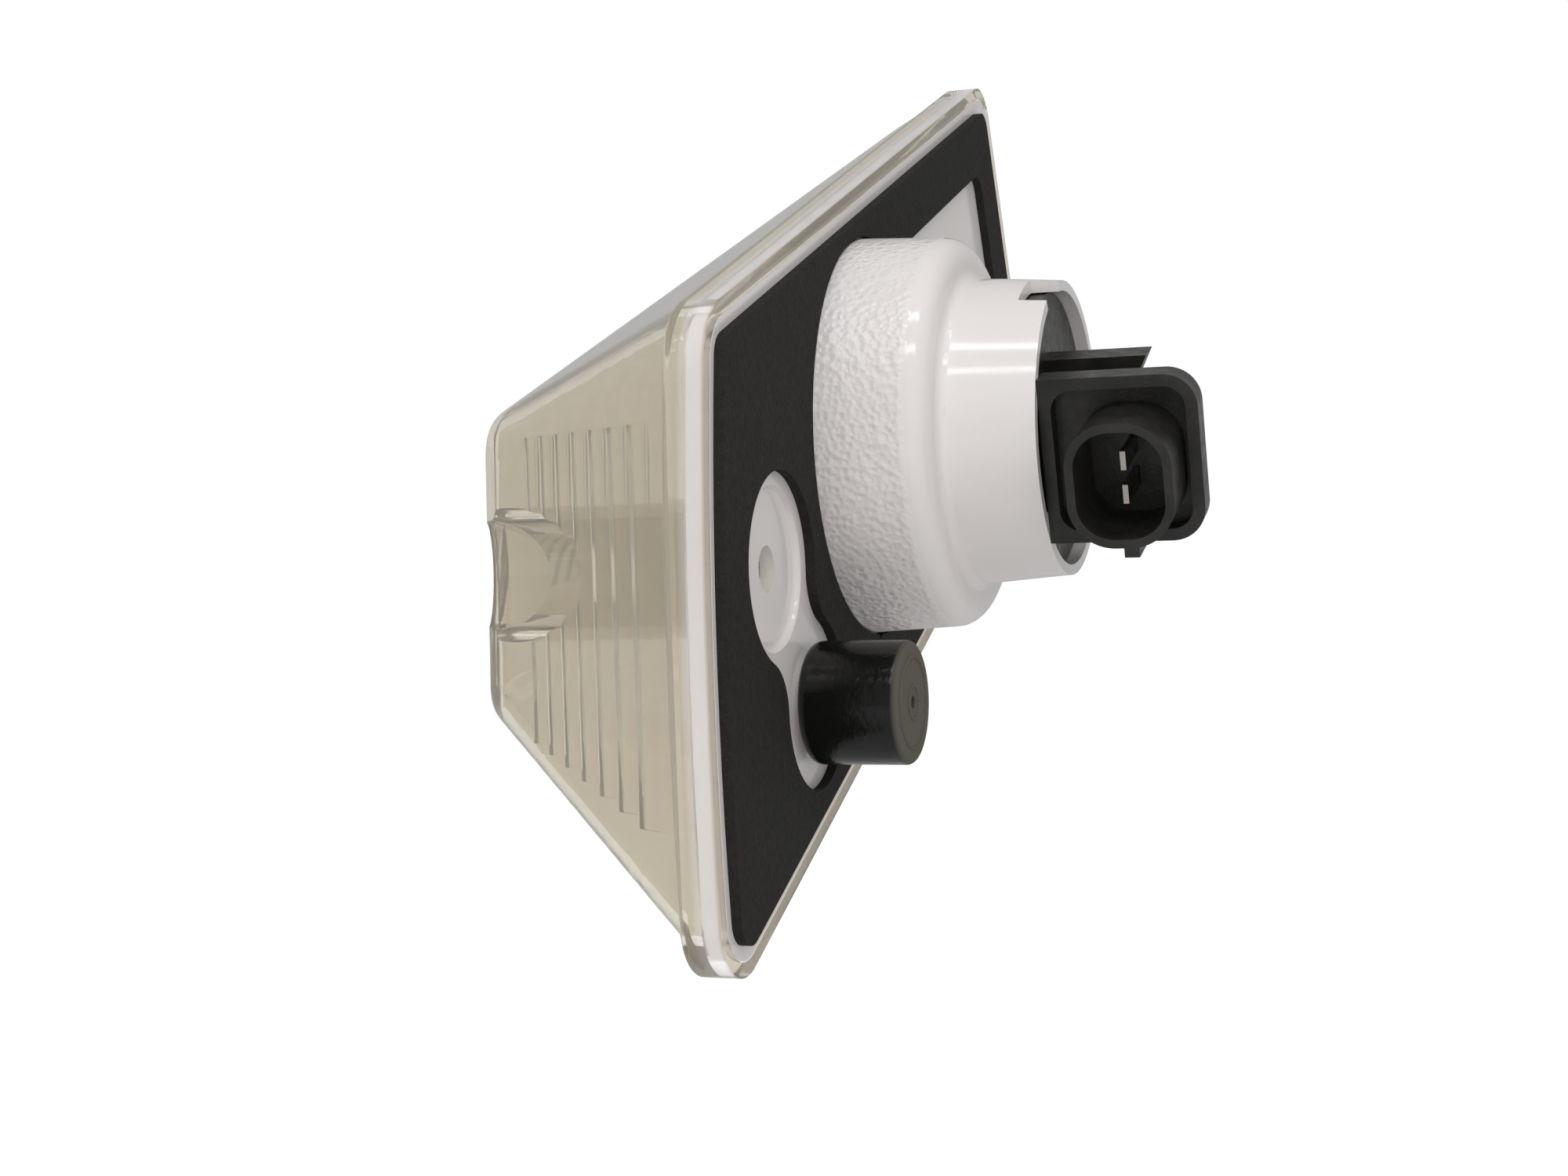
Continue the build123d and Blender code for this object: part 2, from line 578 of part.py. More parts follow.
def live_contact(gap):
    """Stamped strip from the bulb's end contact to the upper blade of the connector."""
    middle = BLADE_PITCH / 2 - SHROUD_DROP
    z_low, z_high = middle - BLADE_WIDTH / 2, middle + BLADE_WIDTH / 2
    riser_y = -CONTACT_PAD
    pad = block(PAD_X - gap, PAD_X + STRIP_THICKNESS + gap, riser_y - gap, CONTACT_PAD / 2 + gap,
                -CONTACT_PAD / 2 - gap, z_high + gap)
    riser = block(PAD_X - gap, BLADE_X + BLADE_THICKNESS / 2 + gap, riser_y - STRIP_THICKNESS - gap,
                  riser_y + gap, z_low - gap, z_high + gap)
    return pad + riser + blade(riser_y, z_low, z_high, gap)


def earth_contact(gap):
    """Stamped strip from the side of the bulb's cap to the lower blade of the connector."""
    middle = -BLADE_PITCH / 2 - SHROUD_DROP
    z_low, z_high = middle - BLADE_WIDTH / 2, middle + BLADE_WIDTH / 2
    riser_y = -BULB_CAP_RADIUS - BULB_FIT
    riser = block(PIN_X - gap, BLADE_X + BLADE_THICKNESS / 2 + gap, riser_y - STRIP_THICKNESS - gap,
                  riser_y + gap, z_low - gap, z_high + gap)
    return riser + blade(riser_y, z_low, z_high, gap)


def blade(root_y, z_low, z_high, gap):
    """A connector blade pointing out of the shroud."""
    tip_y = -SHROUD_REACH + BLADE_TIP_DEPTH
    return block(BLADE_X - BLADE_THICKNESS / 2 - gap, BLADE_X + BLADE_THICKNESS / 2 + gap, tip_y - gap,
                 root_y + gap, z_low - gap, z_high + gap)


def holder_plug():
    """The round plug of the holder: sealing disc, hub, socket tube and seal groove."""
    plug_radius = COLLAR_BORE - HOLDER_CLEARANCE
    groove_radius = COLLAR_BORE - SEAL_BORE_GAP - 2 * SEAL_SECTION_RADIUS - SEAL_GROOVE_FIT
    groove_half = SEAL_SECTION_RADIUS + SEAL_GROOVE_FIT
    socket_outer = SOCKET_BORE + SOCKET_WALL
    hub_inner = HOLDER_HUB_RADIUS - HOLDER_HUB_WALL
    plug = turned(
        [
            (DISC_BACK_X, 0),
            (DISC_BACK_X, plug_radius),
            (SEAL_X + groove_half, plug_radius),
            (SEAL_X + groove_half, groove_radius),
            (SEAL_X - groove_half, groove_radius),
            (SEAL_X - groove_half, plug_radius),
            (PLUG_FRONT_X, plug_radius),
            (PLUG_FRONT_X, HOLDER_HUB_RADIUS),
            (HUB_FRONT_X, HOLDER_HUB_RADIUS),
            (HUB_FRONT_X, hub_inner),
            (DISC_FRONT_X, hub_inner),
            (DISC_FRONT_X, socket_outer),
            (SOCKET_FRONT_X, socket_outer),
            (SOCKET_FRONT_X, SOCKET_BORE),
            (SOCKET_FLOOR_X, SOCKET_BORE),
            (SOCKET_FLOOR_X, 0),
        ]
    )
    step = 360.0 / HOLDER_LUG_COUNT
    lug_outer = COLLAR_BORE - 2 * HOLDER_CLEARANCE
    for index in range(HOLDER_LUG_COUNT):
        inner = HOLDER_HUB_RADIUS - HOLDER_HUB_WALL / 2
        plug += sector(HUB_FRONT_X, LUG_BACK_X, lug_outer, inner, step * index, HOLDER_LUG_ANGLE)
    return plug


def bayonet_slots():
    """L-shaped slots in the socket tube for the bulb's two pins."""
    half = BULB_PIN_RADIUS + BULB_SLOT_GAP
    reach = BULB_CAP_RADIUS + BULB_PIN_REACH + BULB_SLOT_GAP
    width = degrees(2 * half / BULB_CAP_RADIUS)
    slots = []
    for angle in BULB_PIN_ANGLES:
        slots.append(sector(SOCKET_FRONT_X, PIN_X + half, reach, SOCKET_BORE / 2, angle + width, width))
        turn = angle + width / 2
        slots.append(sector(PIN_X - half, PIN_X + half, reach, SOCKET_BORE / 2, turn, 2 * width))
    return slots


def connector():
    """The side-facing connector: recessed panel, neck to the disc, and oval shroud with a key."""
    middle_x = COLLAR_END_X + PANEL_LENGTH / 2
    panel_back = PANEL_THICKNESS - PANEL_NEAR
    section = Pos(middle_x, 0) * Rectangle(PANEL_LENGTH, PANEL_WIDTH)
    section = fillet([v for v in section.vertices() if v.X > middle_x], PANEL_CORNER_ROUND)
    body = side_slab(section, panel_back, -PANEL_NEAR)
    recess = Pos(middle_x, 0) * RectangleRounded(
        PANEL_LENGTH - 2 * PANEL_RIM, PANEL_WIDTH - 2 * PANEL_RIM, PANEL_CORNER_ROUND - PANEL_RIM
    )
    body -= side_slab(recess, PANEL_RECESS - PANEL_NEAR, -PANEL_NEAR)
    body += block(DISC_BACK_X, COLLAR_END_X + NECK_LENGTH, panel_back, -BAR_NEAR, -NECK_LOW, NECK_TOP)
    oval = Pos(BLADE_X, -SHROUD_DROP) * RectangleRounded(SHROUD_AXIAL, SHROUD_ACROSS, SHROUD_ROUND)
    mouth = Pos(BLADE_X, -SHROUD_DROP) * RectangleRounded(
        SHROUD_AXIAL - 2 * SHROUD_WALL, SHROUD_ACROSS - 2 * SHROUD_WALL, SHROUD_ROUND - SHROUD_WALL
    )
    floor_y = SHROUD_DEPTH - SHROUD_REACH
    body += side_slab(oval, max(floor_y, panel_back) + SHROUD_WALL, -SHROUD_REACH)
    underside = -SHROUD_DROP - SHROUD_ACROSS / 2
    body += block(BLADE_X, BLADE_X + SHROUD_KEY_WIDTH, -SHROUD_REACH, -SHROUD_REACH + SHROUD_KEY_LENGTH,
                  underside - SHROUD_KEY_HEIGHT, underside + SHROUD_WALL)
    return body - side_slab(mouth, floor_y, -SHROUD_REACH)


def finger_bar():
    """The bar across the disc that fingers turn, hooked at its upper rear corner."""
    half = BAR_WIDTH / 2
    end_x = COLLAR_END_X + BAR_LENGTH
    side = make_face(
        Polyline(
            (DISC_BACK_X, -half),
            (DISC_BACK_X, half),
            (end_x, half),
            (end_x - BAR_HOOK, half - 2 * BAR_HOOK),
            (end_x - BAR_HOOK, -half),
            close=True,
        )
    )
    return side_slab(side, BAR_FAR, -BAR_NEAR)


def make_bulb_holder():
    """Black moulding that turns into the collar and carries bulb and connector."""
    holder = holder_plug() + connector() + finger_bar()
    for slot in bayonet_slots():
        holder -= slot
    return holder - live_contact(CONTACT_SLOT_GAP) - earth_contact(CONTACT_SLOT_GAP)


def make_holder_seal():
    """Rubber ring in the plug's groove, sealing against the collar's bore."""
    ring_radius = COLLAR_BORE - SEAL_BORE_GAP - SEAL_SECTION_RADIUS
    return Pos(SEAL_X, 0, 0) * Rot(0, 90, 0) * Torus(ring_radius, SEAL_SECTION_RADIUS)


def make_bulb_cap():
    """Drawn brass cap with two offset bayonet pins."""
    cap = tube(CAP_FRONT_X, BULB_BASE_X, BULB_CAP_RADIUS, BULB_CAP_RADIUS - BULB_CAP_WALL)
    for angle in BULB_PIN_ANGLES:
        pin = Pos(PIN_X, 0, BULB_CAP_RADIUS + BULB_PIN_REACH / 2 - BULB_CAP_WALL / 2)
        pin *= Cylinder(BULB_PIN_RADIUS, BULB_PIN_REACH + BULB_CAP_WALL)
        cap += Rot(angle - 90, 0, 0) * pin
    return cap


def make_bulb_insulator():
    """Black glass disc that closes the cap's end."""
    radius = BULB_CAP_RADIUS - BULB_CAP_WALL
    return rod(BULB_BASE_X - BULB_INSULATOR_THICKNESS, BULB_BASE_X, radius)


def make_bulb_button():
    """Solder button of the bulb's end contact."""
    button = rod(BULB_BASE_X, BUTTON_X, BULB_BUTTON_RADIUS)
    return fillet(button.faces().sort_by(Axis.X)[-1].edges(), BULB_BUTTON_HEIGHT / 2)


def glass_profile(wall_in):
    """Half outline of the bulb's envelope, moved in by a wall."""
    radius = GLASS_RADIUS - wall_in
    neck = GLASS_NECK_RADIUS - wall_in
    centre_x = GLASS_TIP_X + GLASS_RADIUS
    back_x = CAP_FRONT_X + GLASS_NECK_TUCK
    blend = radians(GLASS_SHOULDER_ANGLE)
    shoulder = (centre_x + radius * cos(blend), radius * sin(blend))
    tip = (centre_x - radius, 0)
    crown = (centre_x, radius)
    arc = ThreePointArc(tip, crown, shoulder)
    neck_start = (CAP_FRONT_X - GLASS_NECK_LENGTH, neck)
    throat = TangentArc(shoulder, neck_start, tangent=(sin(blend), -cos(blend)))
    return make_face([arc, throat, Polyline(neck_start, (back_x, neck), (back_x, 0), tip)])


def make_bulb_glass():
    """Blown amber glass envelope, open where the cap is cemented on."""
    outer = revolve(glass_profile(0.0), Axis.X)
    return outer - revolve(glass_profile(GLASS_WALL), Axis.X)


def make_bulb_stem():
    """Pressed glass stem that holds the lead wires."""
    start_x = CAP_FRONT_X - STEM_LENGTH
    end_x = BULB_BASE_X - BULB_INSULATOR_THICKNESS
    return rod(start_x, end_x, STEM_RADIUS)


def make_lead_wire(side):
    """One of the two wires between the stem and the filament."""
    start_x = CAP_FRONT_X - STEM_LENGTH
    route = Polyline(
        (start_x, 0, side * STEM_RADIUS / 2),
        (start_x - WIRE_STRAIGHT, 0, side * STEM_RADIUS / 2),
        (FILAMENT_X, 0, side * WIRE_SPACING / 2),
    )
    return sweep(Plane(origin=route @ 0, z_dir=route % 0) * Circle(WIRE_RADIUS), path=route)


def make_filament():
    """The coiled filament, as the closed rod that its turns fill."""
    half = WIRE_SPACING / 2 - WIRE_RADIUS - FILAMENT_END_GAP
    return Pos(FILAMENT_X, 0, 0) * Cylinder(FILAMENT_RADIUS, 2 * half)


def in_collar(solid):
    """Places a piece made about the X axis into the collar, turned to its locked position."""
    return Pos(0, BOSS_Y, BOSS_Z) * Rot(HOLDER_TURN_ANGLE, 0, 0) * solid


def make_pieces():
    """Every piece of the lamp by name."""
    return {
        "lens": make_lens(),
        "lens_bond": make_lens_bond(),
        "housing": make_housing(),
        "gasket": make_gasket(),
        "vent_cap": make_vent_cap(),
        "bulb_holder": in_collar(make_bulb_holder()),
        "holder_seal": in_collar(make_holder_seal()),
        "live_contact": in_collar(live_contact(0.0)),
        "earth_contact": in_collar(earth_contact(0.0)),
        "bulb_cap": in_collar(make_bulb_cap()),
        "bulb_insulator": in_collar(make_bulb_insulator()),
        "bulb_button": in_collar(make_bulb_button()),
        "bulb_glass": in_collar(make_bulb_glass()),
        "bulb_stem": in_collar(make_bulb_stem()),
        "lead_wire_upper": in_collar(make_lead_wire(1)),
        "lead_wire_lower": in_collar(make_lead_wire(-1)),
        "filament": in_collar(make_filament()),
    }


os.makedirs("parts", exist_ok=True)
for name, piece in make_pieces().items():
    export_step(piece, f"parts/{name}.step")
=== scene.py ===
"""Looks of the vehicle indicator lamp: clear lens, white housing, foam gasket, vent cap and bulb holder."""
import math

import bpy
from mathutils import Matrix, Vector


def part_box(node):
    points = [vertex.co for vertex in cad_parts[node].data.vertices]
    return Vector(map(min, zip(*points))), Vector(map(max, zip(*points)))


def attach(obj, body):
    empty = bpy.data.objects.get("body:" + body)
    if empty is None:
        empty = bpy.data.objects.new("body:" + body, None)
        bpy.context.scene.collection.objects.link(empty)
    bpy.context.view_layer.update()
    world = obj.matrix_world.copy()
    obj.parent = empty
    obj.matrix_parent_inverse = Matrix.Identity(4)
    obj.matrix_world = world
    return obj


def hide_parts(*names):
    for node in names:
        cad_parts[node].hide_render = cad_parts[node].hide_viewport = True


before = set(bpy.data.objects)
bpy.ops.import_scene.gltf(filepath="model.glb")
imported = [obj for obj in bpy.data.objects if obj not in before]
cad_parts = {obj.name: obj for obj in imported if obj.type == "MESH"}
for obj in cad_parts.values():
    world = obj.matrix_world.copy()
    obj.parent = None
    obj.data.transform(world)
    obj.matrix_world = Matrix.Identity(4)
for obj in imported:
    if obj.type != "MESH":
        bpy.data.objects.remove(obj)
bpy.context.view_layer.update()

# Housing: one white injection moulding with a flange plate, a round boss, a collar and a vent tube.
# The boss's side has a leather grain that the tool was etched with; the collar and the plate are polished.
# The lens is bonded to its front, and the gasket is stuck to its back.
BOSS_CENTRE = (0.0454, 0.0218)
BOSS_GRAIN_RADII = (0.0290, 0.0300)
BOSS_GRAIN_START = 0.0013
BOSS_GRAIN_END = 0.0150
BOSS_GRAIN_FADE = 0.001
HOUSING_WHITE = (0.80, 0.765, 0.755)
HOUSING_SHADE = (0.77, 0.73, 0.71)
SHADE_PATCH, SHADE_RANGE = 0.03, (0.35, 0.7)
GRAIN_SIZE, GRAIN_DEPTH = 0.0010, 0.00020
GRAIN_CLUMP_SHARE = 1.7
FLOW_SIZE, FLOW_DEPTH = 0.015, 0.00002
POLISH_PATCH, POLISHED_ROUGHNESS = 0.004, (0.10, 0.16)
GRAIN_ROUGHNESS = 0.12


class Finish:
    """A principled material being built, with helpers for the texture nodes that feed it."""

    # Most of a noise lies between these two values.
    NOISE_RANGE = (0.3, 0.7)

    def __init__(self, name, roughness, metallic=0.0, specular=0.5):
        self.material = bpy.data.materials.new(name)
        self.material.use_nodes = True
        self.tree = self.material.node_tree
        self.shader = self.tree.nodes["Principled BSDF"]
        self.shader.inputs["Roughness"].default_value = roughness
        self.shader.inputs["Metallic"].default_value = metallic
        self.shader.inputs["Specular IOR Level"].default_value = specular
        self.place = self.tree.nodes.new("ShaderNodeTexCoord").outputs["Object"]

    def link(self, source, target):
        """Joins a node's output to an input."""
        self.tree.links.new(source, target)

    def noise(self, size, detail=4.0, rough=0.55):
        """Cloudy noise whose blobs are about one size, in metres."""
        node = self.tree.nodes.new("ShaderNodeTexNoise")
        node.inputs["Scale"].default_value = 1.0 / size
        node.inputs["Detail"].default_value = detail
        node.inputs["Roughness"].default_value = rough
        self.link(self.place, node.inputs["Vector"])
        return node.outputs["Fac"]

    def cells(self, size, smooth=0.6):
        """Rounded cells, like grain or foam, of about one size in metres."""
        node = self.tree.nodes.new("ShaderNodeTexVoronoi")
        node.feature = "SMOOTH_F1"
        node.inputs["Scale"].default_value = 1.0 / size
        node.inputs["Smoothness"].default_value = smooth
        self.link(self.place, node.inputs["Vector"])
        return node.outputs["Distance"]

    def math(self, operation, first, second):
        """Works out one sum from two values, each a number or the output of a node."""
        node = self.tree.nodes.new("ShaderNodeMath")
        node.operation = operation
        for socket, value in zip(node.inputs, (first, second)):
            if isinstance(value, (int, float)):
                socket.default_value = value
            else:
                self.link(value, socket)
        return node.outputs["Value"]

    def spread(self, value, low, high, to_low=0.0, to_high=1.0):
        """Maps one range of a value to another, held at its ends."""
        node = self.tree.nodes.new("ShaderNodeMapRange")
        self.link(value, node.inputs["Value"])
        node.inputs["From Min"].default_value = low
        node.inputs["From Max"].default_value = high
        node.inputs["To Min"].default_value = to_low
        node.inputs["To Max"].default_value = to_high
        return node.outputs["Result"]

    def colour(self, amount, first, second):
        """Blends between two colours, each plain or blended before, into the base colour."""
        node = self.tree.nodes.new("ShaderNodeMix")
        node.data_type = "RGBA"
        self.link(amount, node.inputs["Factor"])
        colours = [socket for socket in node.inputs if socket.type == "RGBA"]
        for socket, value in zip(colours, (first, second)):
            if isinstance(value, tuple):
                socket.default_value = (*value, 1.0)
            else:
                self.link(value, socket)
        result = [socket for socket in node.outputs if socket.type == "RGBA"][0]
        self.link(result, self.shader.inputs["Base Color"])
        return result

    def roughness(self, amount, low, high):
        """Varies the roughness between two values by a noise."""
        self.link(self.spread(amount, *self.NOISE_RANGE, low, high), self.shader.inputs["Roughness"])

    def relief(self, height, depth, before=None):
        """Raises the surface by a height pattern of one depth in metres."""
        node = self.tree.nodes.new("ShaderNodeBump")
        node.inputs["Distance"].default_value = depth
        self.link(height, node.inputs["Height"])
        if before is not None:
            self.link(before, node.inputs["Normal"])
        self.link(node.outputs["Normal"], self.shader.inputs["Normal"])
        return node.outputs["Normal"]

    def axis(self, name):
        """The place along X, Y or Z."""
        split = self.tree.nodes.new("ShaderNodeSeparateXYZ")
        self.link(self.place, split.inputs["Vector"])
        return split.outputs[name]

    def radius_about_x(self, centre):
        """Distance from a line along X through a (y, z) centre."""
        across = self.math("SUBTRACT", self.axis("Y"), centre[0])
        up = self.math("SUBTRACT", self.axis("Z"), centre[1])
        square = self.math("ADD", self.math("MULTIPLY", across, across), self.math("MULTIPLY", up, up))
        return self.math("SQRT", square, 0.0)

    def wear(self, *names):
        """Puts the finish on CAD nodes by name."""
        for name in names:
            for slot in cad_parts[name].material_slots:
                slot.material = self.material


white = Finish("housing_white", roughness=0.14)
along = white.axis("X")
on_side = white.spread(white.radius_about_x(BOSS_CENTRE), *BOSS_GRAIN_RADII)
past_plate = white.spread(along, BOSS_GRAIN_START, BOSS_GRAIN_START + BOSS_GRAIN_FADE)
short_of_shoulder = white.spread(along, BOSS_GRAIN_END, BOSS_GRAIN_END + BOSS_GRAIN_FADE, 1.0, 0.0)
grain_mask = white.math("MULTIPLY", white.math("MULTIPLY", on_side, past_plate), short_of_shoulder)
bumps = white.math("ADD", white.cells(GRAIN_SIZE), white.noise(GRAIN_SIZE * GRAIN_CLUMP_SHARE, detail=3.0))
flow = white.relief(white.noise(FLOW_SIZE, detail=1.0), FLOW_DEPTH)
white.relief(white.math("MULTIPLY", bumps, grain_mask), GRAIN_DEPTH, before=flow)
white.colour(white.spread(white.noise(SHADE_PATCH, detail=2.0), *SHADE_RANGE), HOUSING_WHITE, HOUSING_SHADE)
polish = white.spread(white.noise(POLISH_PATCH), *white.NOISE_RANGE, *POLISHED_ROUGHNESS)
grained = white.math("MULTIPLY", grain_mask, GRAIN_ROUGHNESS)
white.link(white.math("ADD", polish, grained), white.shader.inputs["Roughness"])
white.wear("housing")

# Sealant: a bead of cured sealant in a groove of the housing that holds the lens and keeps water out.
# It is laid by a nozzle, so it is slightly wavy, and it shows through the clear flange.
SEALANT_GREY = (0.62, 0.60, 0.57)
SEALANT_DARK = (0.50, 0.48, 0.45)
SEALANT_PATCH, SEALANT_RANGE = 0.004, (0.35, 0.65)
SEALANT_WAVE, SEALANT_WAVE_DEPTH = 0.003, 0.0002
sealant = Finish("sealant", roughness=0.45)
sealant.colour(sealant.spread(sealant.noise(SEALANT_PATCH), *SEALANT_RANGE), SEALANT_GREY, SEALANT_DARK)
sealant.relief(sealant.noise(SEALANT_WAVE, detail=2.0), SEALANT_WAVE_DEPTH)
sealant.wear("lens_bond")

# Gasket: closed-cell foam sheet, die-cut and stuck to the housing's back by its own adhesive.
# Its skin is matt charcoal with fine cells and a slightly uneven lie.
FOAM_CHARCOAL = (0.016, 0.0155, 0.0142)
FOAM_PALE = (0.026, 0.0248, 0.023)
FOAM_MOTTLE, FOAM_MOTTLE_RANGE = 0.0012, (0.3, 0.75)
FOAM_LIE, FOAM_LIE_DEPTH = 0.006, 0.0003
FOAM_CELL, FOAM_CELL_DEPTH = 0.0005, 0.0001
foam = Finish("gasket_foam", roughness=0.85, specular=0.2)
foam.colour(foam.spread(foam.noise(FOAM_MOTTLE, detail=6.0), *FOAM_MOTTLE_RANGE), FOAM_CHARCOAL, FOAM_PALE)
lie = foam.relief(foam.noise(FOAM_LIE, detail=3.0), FOAM_LIE_DEPTH)
foam.relief(foam.cells(FOAM_CELL, smooth=0.2), FOAM_CELL_DEPTH, before=lie)
foam.wear("gasket")

# Lens: clear acrylic, moulded with a polished tool, with flutes inside its walls and a screw pocket.
# It is bonded to the housing at the flange. The bulge is warm and faintly hazy, the skirt round the housing
# is clear, and its rim is painted brown as a painted shade seen along its clear edge. The index is lower
# than acrylic's, so that edges and flutes don't turn black.
BULGE_TINT = (0.78, 0.735, 0.63)
SKIRT_TINT = (0.97, 0.96, 0.955)
RIM_PAINTED_SHADE = (0.66, 0.58, 0.47)
SKIRT_FROM_X, SKIRT_TO_X = -0.0030, -0.0022
RIM_SHADE_FROM_X, RIM_SHADE_TO_X = 0.0005, 0.0009
HAZE_SHARE = 0.20
SEEN_INDEX = 1.30
GLOSS_WEIGHT, GLOSS_ROUGHNESS = 0.35, 0.04
RIPPLE_SIZE, RIPPLE_DEPTH = 0.012, 0.00004
LENS_PATCH, LENS_ROUGHNESS = 0.006, (0.03, 0.08)
clear = Finish("lens_clear", roughness=0.04)
along = clear.axis("X")
tint = clear.colour(clear.spread(along, SKIRT_FROM_X, SKIRT_TO_X), BULGE_TINT, SKIRT_TINT)
# Painted shade: towards the housing the lens turns brown, for the shade seen along its clear edge.
clear.colour(clear.spread(along, RIM_SHADE_FROM_X, RIM_SHADE_TO_X), tint, RIM_PAINTED_SHADE)
clear.shader.inputs["Transmission Weight"].default_value = 1.0 - HAZE_SHARE
clear.shader.inputs["IOR"].default_value = SEEN_INDEX
clear.shader.inputs["Coat Weight"].default_value = GLOSS_WEIGHT
clear.shader.inputs["Coat Roughness"].default_value = GLOSS_ROUGHNESS
clear.relief(clear.noise(RIPPLE_SIZE, detail=1.0), RIPPLE_DEPTH)
clear.roughness(clear.noise(LENS_PATCH), *LENS_ROUGHNESS)
clear.wear("lens")

# Vent cap: moulded rubber cup pushed over the housing's vent tube, so the lamp can breathe.
# Its side is polished by the tool. Its end is dull and coloured a paler olive grey, with two thin raised
# rings.
RUBBER_BLACK = (0.006, 0.006, 0.0055)
CAP_END_OLIVE = (0.105, 0.098, 0.074)
VENT_CENTRE = (0.0144, -0.0193)
VENT_END_X = (0.0160, 0.0168)
SIDE_ROUGHNESS, END_ROUGHNESS = 0.16, 0.75
CAP_RING_RADII = (0.0066, 0.0024)
CAP_RING_BEAD = 0.00022
CAP_RING_STEPS, CAP_RING_SIDES = 72, 8
RUBBER_GRAIN, RUBBER_GRAIN_DEPTH = 0.0012, 0.00006
rubber = Finish("vent_rubber", roughness=0.3, specular=0.3)
end_mask = rubber.spread(rubber.axis("X"), *VENT_END_X)
# The end is coloured a paler olive grey than the black side.
rubber.colour(end_mask, RUBBER_BLACK, CAP_END_OLIVE)
dullness = rubber.spread(end_mask, 0.0, 1.0, SIDE_ROUGHNESS, END_ROUGHNESS)
rubber.link(dullness, rubber.shader.inputs["Roughness"])
rubber.relief(rubber.noise(RUBBER_GRAIN, detail=5.0), RUBBER_GRAIN_DEPTH)
rubber.wear("vent_cap")
cap_end_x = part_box("vent_cap")[1][0]


def swept(name, route, thickness, sides, finish, closed=False):
    """A round wire or bead along a route of points, as one mesh object."""
    slanting = Vector((0.31, 0.87, 0.38))
    count = len(route)
    corners, faces = [], []
    for index, point in enumerate(route):
        before = route[index - 1] if closed or index else route[index]
        after = route[(index + 1) % count] if closed or index < count - 1 else route[index]
        forward = (after - before).normalized()
        across = forward.cross(slanting).normalized()
        up = forward.cross(across)
        for side in range(sides):
            angle = 2 * math.pi * side / sides
            corners.append(point + (across * math.cos(angle) + up * math.sin(angle)) * thickness)
    for index in range(count if closed else count - 1):
        here, there = index * sides, (index + 1) % count * sides
        for side in range(sides):
            beside = (side + 1) % sides
            faces.append((here + side, here + beside, there + beside, there + side))
    if not closed:
        faces.append(tuple(reversed(range(sides))))
        faces.append(tuple(range((count - 1) * sides, count * sides)))
    mesh = bpy.data.meshes.new(name)
    mesh.from_pydata(corners, [], faces)
    mesh.polygons.foreach_set("use_smooth", [True] * len(faces))
    mesh.materials.append(finish.material)
    piece = bpy.data.objects.new(name, mesh)
    bpy.context.collection.objects.link(piece)
    return piece


for ring_radius in CAP_RING_RADII:
    circle = []
    for step in range(CAP_RING_STEPS):
        angle = 2 * math.pi * step / CAP_RING_STEPS
        y = VENT_CENTRE[0] + ring_radius * math.cos(angle)
        circle.append(Vector((cap_end_x, y, VENT_CENTRE[1] + ring_radius * math.sin(angle))))
    bead = swept("vent_cap_ring", circle, CAP_RING_BEAD, CAP_RING_SIDES, rubber, closed=True)
    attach(bead, "lamp")

# Bulb holder: black plastic moulding that turns into the collar and locks there by three lugs.
# Its faces are satin, with a faint brown cast where light catches them.
HOLDER_BLACK = (0.010, 0.0098, 0.0092)
HOLDER_BROWN = (0.024, 0.022, 0.018)
HOLDER_PATCH, HOLDER_PATCH_RANGE = 0.006, (0.35, 0.7)
SATIN_PATCH, SATIN_ROUGHNESS = 0.002, (0.28, 0.45)
SATIN_GRAIN, SATIN_GRAIN_DEPTH = 0.0006, 0.00003
holder = Finish("holder_black", roughness=0.35, specular=0.4)
holder.colour(holder.spread(holder.noise(HOLDER_PATCH), *HOLDER_PATCH_RANGE), HOLDER_BLACK, HOLDER_BROWN)
holder.roughness(holder.noise(SATIN_PATCH), *SATIN_ROUGHNESS)
holder.relief(holder.noise(SATIN_GRAIN, detail=3.0), SATIN_GRAIN_DEPTH)
holder.wear("bulb_holder")

# Holder seal: moulded rubber ring, stretched into a groove of the holder's plug.
# It stands between the plug and the collar's bore, and keeps water out of the lamp.
SEAL_PATCH = 0.003
SEAL_GRAIN, SEAL_GRAIN_DEPTH = 0.001, 0.00004
ring = Finish("seal_rubber", roughness=0.5, specular=0.3)
ring.colour(ring.noise(SEAL_PATCH), RUBBER_BLACK, HOLDER_BROWN)
ring.relief(ring.noise(SEAL_GRAIN), SEAL_GRAIN_DEPTH)
ring.wear("holder_seal")

# Contacts: tinned brass strip, stamped and folded, pushed into slots of the holder.
# The tin has dulled with slight tarnish.
TIN_BRIGHT = (0.50, 0.48, 0.43)
TIN_DULL = (0.34, 0.31, 0.26)
TARNISH_PATCH = 0.002
TIN_GRAIN, TIN_GRAIN_DEPTH = 0.0004, 0.00002
tin = Finish("contact_metal", roughness=0.3, metallic=1.0)
tin.colour(tin.noise(TARNISH_PATCH), TIN_BRIGHT, TIN_DULL)
tin.relief(tin.noise(TIN_GRAIN), TIN_GRAIN_DEPTH)
tin.wear("live_contact", "earth_contact")

